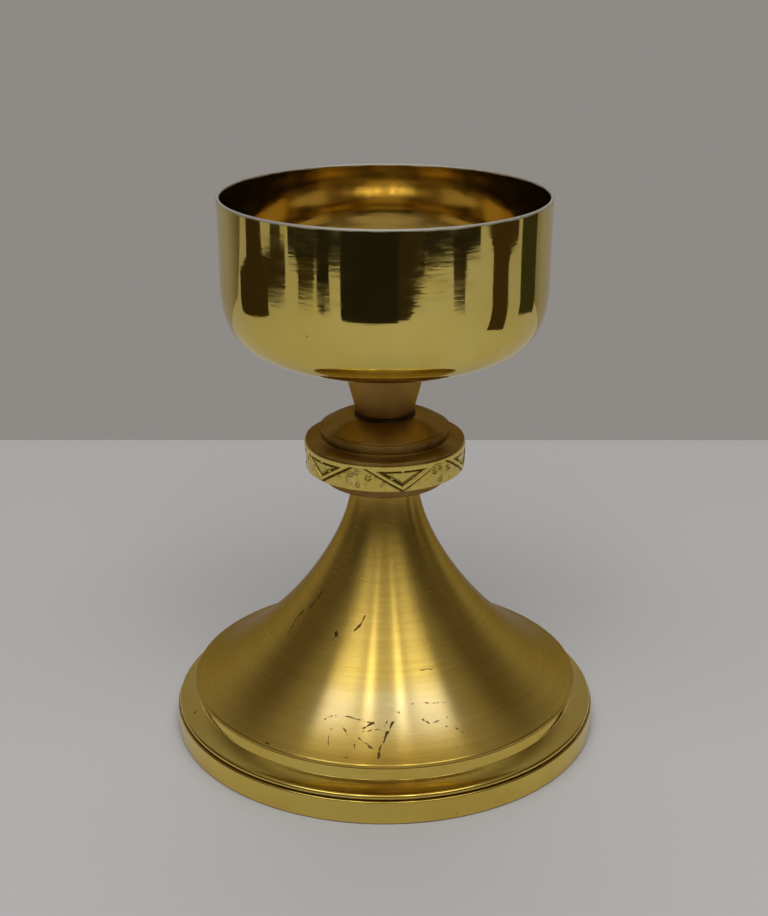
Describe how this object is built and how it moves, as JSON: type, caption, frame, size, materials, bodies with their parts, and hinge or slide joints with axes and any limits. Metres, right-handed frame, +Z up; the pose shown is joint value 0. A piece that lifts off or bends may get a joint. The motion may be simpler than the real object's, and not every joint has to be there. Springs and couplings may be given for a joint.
{
  "type": "travel chalice",
  "caption": "Gilt chalice with a deep round cup that unscrews from a turned knop with a triangle-patterned band on a wide flared foot.",
  "frame": {"origin": "centre of the foot, on the surface that the chalice stands on", "axes": "+Z up along the chalice's axis, -Y towards the front, +X to the right seen from the front"},
  "size_m": [0.1206, 0.1206, 0.1537],
  "materials": {
    "gilt_cup": "mirror polished gilding",
    "polished_foot": "polished gilding, lightly worn",
    "brushed_cone": "fine brushed gilding with scratches",
    "satin_knop": "satin, darker bronze tone",
    "bright_band": "cast and polished, dark in the hollows",
    "turned_brass": "as turned",
    "steel": "zinc plated",
    "leather_washer": "pressed hide, dark"
  },
  "bodies": {
    "base": {"foot_band": "polished_foot", "foot_cover": "polished_foot", "cone_shell": "brushed_cone", "knop_lower_plate": "satin_knop", "knop_core": "turned_brass", "knop_band": "bright_band", "knop_flange": "satin_knop", "knop_dome": "satin_knop", "knop_ring_nut": "turned_brass", "tie_rod": "steel", "seat_washer": "turned_brass", "lock_washer": "steel", "tie_nut": "steel"},
    "washer": {"collar_washer": "leather_washer"},
    "cup": {"cup_bowl": "gilt_cup", "cup_collar": "satin_knop", "cup_boss": "turned_brass", "cup_stud": "turned_brass"}
  },
  "joints": [
    {"name": "cup_turn", "type": "hinge", "parent": "base", "child": "washer", "pos_m": [0, 0, 0.0928], "axis": [0, 0, 1], "range_deg": [0, 2520]},
    {"name": "cup_rise", "type": "slide", "parent": "washer", "child": "cup", "axis": [0, 0, 1], "range_m": [0, 0.0088]}
  ],
  "couplings": [
    {"joint": "cup_rise", "follows": "cup_turn", "m_per_rad": 0.00019894}
  ]
}
